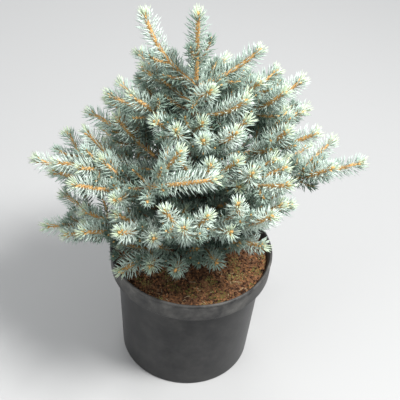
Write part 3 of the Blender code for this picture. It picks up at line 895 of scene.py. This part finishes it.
def make_crown(masses, trunk_twigs):
    rng = np.random.default_rng(SEED)
    needles, twigs, bud = needle_materials(), twig_materials(), bud_material()
    for whorl in WHORLS:
        batches = {"needles": Batch(), "twigs": Batch(), "buds": Batch()}
        nodes = []
        for mass in masses:
            if whorl_of(mass["name"]) != whorl:
                continue
            nodes.append(mass["name"] + "_foliage")
            for shoot in mass["shoots"]:
                dress_shoot(batches, shoot, SHOOT_BARE, False, rng)
            for twig in mass["fine"]:
                dress_shoot(batches, twig, FINE_BARE, True, rng)
        if whorl == "upper":
            dress_trunk(batches, trunk_twigs, rng)
        add_piece("needles_" + whorl, batches["needles"].mesh("needles_" + whorl), needles,
                  nodes)
        add_piece("twigs_" + whorl, batches["twigs"].mesh("twigs_" + whorl), twigs)
        add_piece("buds_" + whorl, batches["buds"].mesh("buds_" + whorl), [bud])


def bark_relief(points, directions, radii, lumps, scale):
    """Radii round a limb, roughened by noise along it."""
    rough = np.empty((len(points), directions.shape[1]))
    for i, (point, radius) in enumerate(zip(points, radii)):
        for k, direction in enumerate(directions[i]):
            spot = Vector((point + radius * direction) * scale)
            spot.z *= 0.45
            rough[i, k] = radius + lumps * noise.fractal(spot, 0.7, 2.1, 4)
    return rough


def limb_mesh(path, radius_at, count, corners, lumps, lobes=0.0):
    """A limb with bark relief, and with root lobes round its foot where lobes has a height."""
    total = run_lengths(path)[-1]
    distances = np.linspace(0, total, count)
    points, forward, sides, overs = path_frames(path, distances)
    turns = turns_round(corners)
    directions = (np.cos(turns)[None, :, None] * sides[:, None]
                  + np.sin(turns)[None, :, None] * overs[:, None])
    radii = np.array([radius_at(d / total, point) for d, point in zip(distances, points)])
    rough = bark_relief(points, directions, radii, lumps, BARK_SCALE)
    if lobes:
        fade = np.exp(-(points[:, 2] - SOIL_TOP) / LOBE_FADE)[:, None]
        rough += lobes * fade * (np.cos(5 * turns + 0.7) + 0.5 * np.cos(3 * turns + 2.0))[None]
    return tube_arrays(points, sides, overs, rough, corners)


def trunk_bark_radius(share, point):
    return trunk_radius(max(point[2], SOIL_TOP))


def bough_bark_radius(share, point):
    taper = BOUGH_ROOT_RADIUS + (BOUGH_TIP_RADIUS - BOUGH_ROOT_RADIUS) * share
    return taper + BOUGH_COLLAR * math.exp(-share * COLLAR_FADE)


def make_wood(masses):
    bark = bark_material()
    path = trunk_line(SOIL_TOP - 0.003, TRUNK_TOP, 60)
    verts, quads = limb_mesh(path, trunk_bark_radius, TRUNK_RINGS, TRUNK_CORNERS, TRUNK_LUMPS,
                             TRUNK_LOBES)
    add_piece("trunk_bark", array_mesh("trunk_bark", verts, quads), [bark], ["trunk"])
    batch = Batch()
    nodes = []
    for mass in masses:
        if mass["limb"] is None:
            continue
        nodes.append(mass["name"] + "_bough")
        verts, quads = limb_mesh(mass["limb"], bough_bark_radius, BOUGH_RINGS, BOUGH_CORNERS,
                                 BOUGH_LUMPS)
        batch.add(verts, quads, 0)
    add_piece("bough_bark", batch.mesh("bough_bark"), [bark], nodes)


# The pot and its soil

def turned(profile, steps):
    profile = np.array(profile)
    turns = turns_round(steps)
    verts = np.stack([
        profile[:, 0, None] * np.cos(turns)[None],
        profile[:, 0, None] * np.sin(turns)[None],
        np.repeat(profile[:, 1, None], steps, axis=1)], axis=2).reshape(-1, 3)
    return verts, ring_quads(len(profile), steps)


def arc(centre, radius, start, end, count):
    turns = np.radians(np.linspace(start, end, count))
    return [(centre[0] + radius * math.cos(t), centre[1] + radius * math.sin(t)) for t in turns]


def make_pot():
    foot = POT_HEIGHT - BAND_HEIGHT
    inner = RIM_RADIUS - POT_WALL
    lip = (RIM_RADIUS - LIP_RADIUS, POT_HEIGHT - LIP_RADIUS)
    profile = list(POT_UNDERSIDE)
    profile += arc((BASE_RADIUS - BASE_CHAMFER, BASE_CHAMFER), BASE_CHAMFER, -90, -5, 6)
    for share in np.linspace(0.04, 0.985, 26):
        profile.append((BASE_RADIUS + (BODY_TOP_RADIUS - BASE_RADIUS) * share, foot * share))
    profile += [(BODY_TOP_RADIUS + 0.0004, foot - 0.0012),
                (BAND_FOOT_RADIUS - BAND_CHAMFER - 0.001, foot - 0.0002)]
    profile += arc((BAND_FOOT_RADIUS - BAND_CHAMFER, foot + BAND_CHAMFER), BAND_CHAMFER,
                   -85, 0, 5)
    groove_top = POT_HEIGHT - 2 * LIP_RADIUS
    for share in np.linspace(0.12, 0.94, 10):
        width = BAND_FOOT_RADIUS + (RIM_RADIUS - 0.0006 - BAND_FOOT_RADIUS) * share
        profile.append((width, foot + (groove_top - 0.0012 - foot) * share))
    profile += [(RIM_RADIUS - GROOVE_DEPTH, groove_top - 0.0008),
                (RIM_RADIUS - GROOVE_DEPTH - 0.0003, groove_top)]
    profile += arc(lip, LIP_RADIUS, -62, 178, 14)
    profile += [(inner - 2 * LIP_RADIUS, POT_HEIGHT - 2.6 * LIP_RADIUS),
                (inner - 2 * LIP_RADIUS - 0.0008, foot + 0.004)]
    verts, quads = turned(profile, POT_STEPS)
    turns = np.arctan2(verts[:, 1], verts[:, 0])
    sway = POT_OVAL * np.cos(2 * turns + 0.6) + POT_RIPPLE * np.cos(5 * turns)
    sway *= verts[:, 2] / POT_HEIGHT
    verts[:, 0] += sway * np.cos(turns)
    verts[:, 1] += sway * np.sin(turns)
    add_piece("pot_shell", array_mesh("pot_shell", verts, quads), [pot_material()],
              ["pot"])


def soil_height(x, y):
    reach = math.hypot(x, y) / RIM_RADIUS
    spot = Vector((x, y, 0.3))
    rough = SOIL_LUMP_HEIGHT * noise.fractal(spot * SOIL_LUMP_SCALE, 0.8, 2.0, 3)
    rough += SOIL_CRUMB_HEIGHT * noise.fractal(spot * SOIL_CRUMB_SCALE, 0.8, 2.1, 4)
    return SOIL_TOP - SOIL_SINK - SOIL_EDGE_DROP * min(reach, 1.0) ** 2 + rough


def make_soil(rng):
    outer = RIM_RADIUS - POT_WALL - 2 * LIP_RADIUS - 0.0006
    verts = []
    for radius in np.linspace(0.0008, outer, SOIL_RINGS):
        for turn in turns_round(SOIL_STEPS):
            x, y = radius * math.cos(turn), radius * math.sin(turn)
            verts.append((x, y, soil_height(x, y)))
    upward = ring_quads(SOIL_RINGS, SOIL_STEPS)[:, [0, 3, 2, 1]]
    mesh = array_mesh("soil_surface", verts, upward)
    add_piece("soil_surface", mesh, [soil_material()], ["soil"])
    scatter_chips(rng, outer)
    grow_moss(rng, outer)


def block_arrays(centre, size, turn, tilt, rng):
    """A small six-sided chip with uneven corners."""
    base = np.array([(-1, -1, -1), (1, -1, -1), (1, 1, -1), (-1, 1, -1),
                     (-1, -1, 1), (1, -1, 1), (1, 1, 1), (-1, 1, 1)], dtype=float)
    base *= rng.uniform(0.6, 1.0, base.shape)
    base = base * np.array(size) * 0.5
    spin = Matrix.Rotation(turn, 3, "Z") @ Matrix.Rotation(tilt, 3, "X")
    verts = base @ np.array(spin).T + centre
    quads = np.array([(0, 3, 2, 1), (4, 5, 6, 7), (0, 1, 5, 4), (1, 2, 6, 5), (2, 3, 7, 6),
                      (3, 0, 4, 7)])
    return verts, quads


def scatter_chips(rng, outer):
    """Bark chips, dark and red by turns, with a straw bit now and then."""
    chips = [
        varied("chip_dark", [(0.030, 0.013, 0.007), (0.070, 0.030, 0.015)], 200.0, 0.9, 0.3),
        varied("chip_red", [(0.190, 0.080, 0.030), (0.340, 0.160, 0.070)], 200.0, 0.85, 0.3),
        varied("chip_straw", [(0.38, 0.28, 0.16), (0.52, 0.42, 0.26)], 200.0, 0.8, 0.3),
    ]
    batch = Batch()
    for index in range(CHIPS):
        reach = outer * math.sqrt(rng.uniform(0.0, 0.96))
        turn = rng.uniform(0, 2 * math.pi)
        x, y = reach * math.cos(turn), reach * math.sin(turn)
        straw = index % STRAW_EVERY == 0
        length = rng.uniform(*CHIP_LENGTH)
        size = (length, length * rng.uniform(*CHIP_WIDTH_SHARE),
                length * rng.uniform(*CHIP_HEIGHT_SHARE))
        if straw:
            size = (rng.uniform(*STRAW_LENGTH), *STRAW_SECTION)
        centre = (x, y, soil_height(x, y) + 0.25 * size[2])
        if math.hypot(x, y) + size[0] * 0.6 > outer:
            continue
        spin, tilt = rng.uniform(0, 6.3), rng.uniform(-CHIP_TILT, CHIP_TILT)
        verts, quads = block_arrays(centre, size, spin, tilt, rng)
        batch.add(verts, quads, STRAW_SLOT if straw else 1 - index % 2)
    add_piece("soil_chips", batch.mesh("soil_chips"), chips)


def grow_moss(rng, outer):
    """Clumps of short pointed blades, most of them towards the front edge."""
    moss = [
        varied("moss_green", [(0.120, 0.140, 0.030), (0.230, 0.250, 0.060)], 300.0, 0.9, 0.3),
        varied("moss_yellow", [(0.290, 0.280, 0.080), (0.420, 0.400, 0.150)], 300.0, 0.9, 0.3),
    ]
    tufts = Batch()
    for clump in range(MOSS_CLUMPS):
        reach = outer * math.sqrt(rng.uniform(0.25, 0.98))
        turn = rng.normal(-math.pi / 2 + 0.5, 1.4)
        spread = rng.uniform(*MOSS_SPREAD)
        for blade in range(int(spread * MOSS_BLADES_A_METRE)):
            x = reach * math.cos(turn) + rng.normal(0, spread * 0.5)
            y = reach * math.sin(turn) + rng.normal(0, spread * 0.5)
            if math.hypot(x, y) > outer - MOSS_TO_WALL:
                continue
            base = np.array((x, y, soil_height(x, y) - 0.0004))
            lean = np.array((rng.normal(0, 0.5), rng.normal(0, 0.5), 1.0))
            top = base + unit(lean) * rng.uniform(*MOSS_HEIGHT)
            verts = [base + (MOSS_WIDTH, 0, 0), base + (-MOSS_WIDTH / 2, MOSS_WIDTH, 0),
                     base + (-MOSS_WIDTH / 2, -MOSS_WIDTH, 0), top]
            tufts.add(verts, [(0, 1, 3), (1, 2, 3), (2, 0, 3)], clump % 2)
    add_piece("soil_moss", tufts.mesh("soil_moss"), moss)


# Stage, light and camera

def make_stage():
    bpy.ops.mesh.primitive_plane_add(size=FLOOR_SIZE, location=(0, 0, 0))
    floor = bpy.context.object
    floor.name = "floor"
    material, tree, shader = nodes_of("floor")
    shader.inputs["Base Color"].default_value = FLOOR_COLOUR
    shader.inputs["Roughness"].default_value = 0.9
    floor.data.materials.append(material)
    world = bpy.data.worlds.new("studio")
    world.use_nodes = True
    sky = world.node_tree.nodes["Background"]
    sky.inputs["Color"].default_value = SKY_COLOUR
    sky.inputs["Strength"].default_value = SKY_STRENGTH
    bpy.context.scene.world = world
    bpy.context.scene.view_settings.view_transform = "Standard"
    for row in LIGHTS:
        add_light(*row)


def add_light(name, place, power, size):
    light = bpy.data.lights.new(name, "AREA")
    light.energy = power
    light.size = size
    obj = bpy.data.objects.new(name, light)
    bpy.context.scene.collection.objects.link(obj)
    obj.location = place
    aim = Vector(LIGHT_AIM) - Vector(place)
    obj.rotation_euler = aim.to_track_quat("-Z", "Y").to_euler()


def make_camera():
    """The camera of the photograph, fitted to the pot's rim, band and base."""
    pitch, roll = math.radians(CAMERA_PITCH), math.radians(CAMERA_ROLL)
    ahead = Vector((0, math.cos(pitch), -math.sin(pitch)))
    upright = Vector((0, math.sin(pitch), math.cos(pitch)))
    across = Vector((1, 0, 0))
    up = math.cos(roll) * upright - math.sin(roll) * across
    right = math.cos(roll) * across + math.sin(roll) * upright
    camera = bpy.data.cameras.new("camera")
    camera.sensor_width = SENSOR_WIDTH
    camera.lens = FOCAL_PIXELS / PHOTO_PIXELS * camera.sensor_width
    obj = bpy.data.objects.new("camera", camera)
    bpy.context.scene.collection.objects.link(obj)
    turn = Matrix((right, up, -ahead)).transposed().to_4x4()
    obj.matrix_world = Matrix.Translation(Vector(CAMERA_PLACE)) @ turn
    bpy.context.scene.camera = obj


def main():
    masses = plan_crown()
    trunk_twigs = plan_fine_twigs(masses)
    make_wood(masses)
    make_crown(masses, trunk_twigs)
    make_pot()
    make_soil(np.random.default_rng(SEED))
    make_stage()
    make_camera()


main()
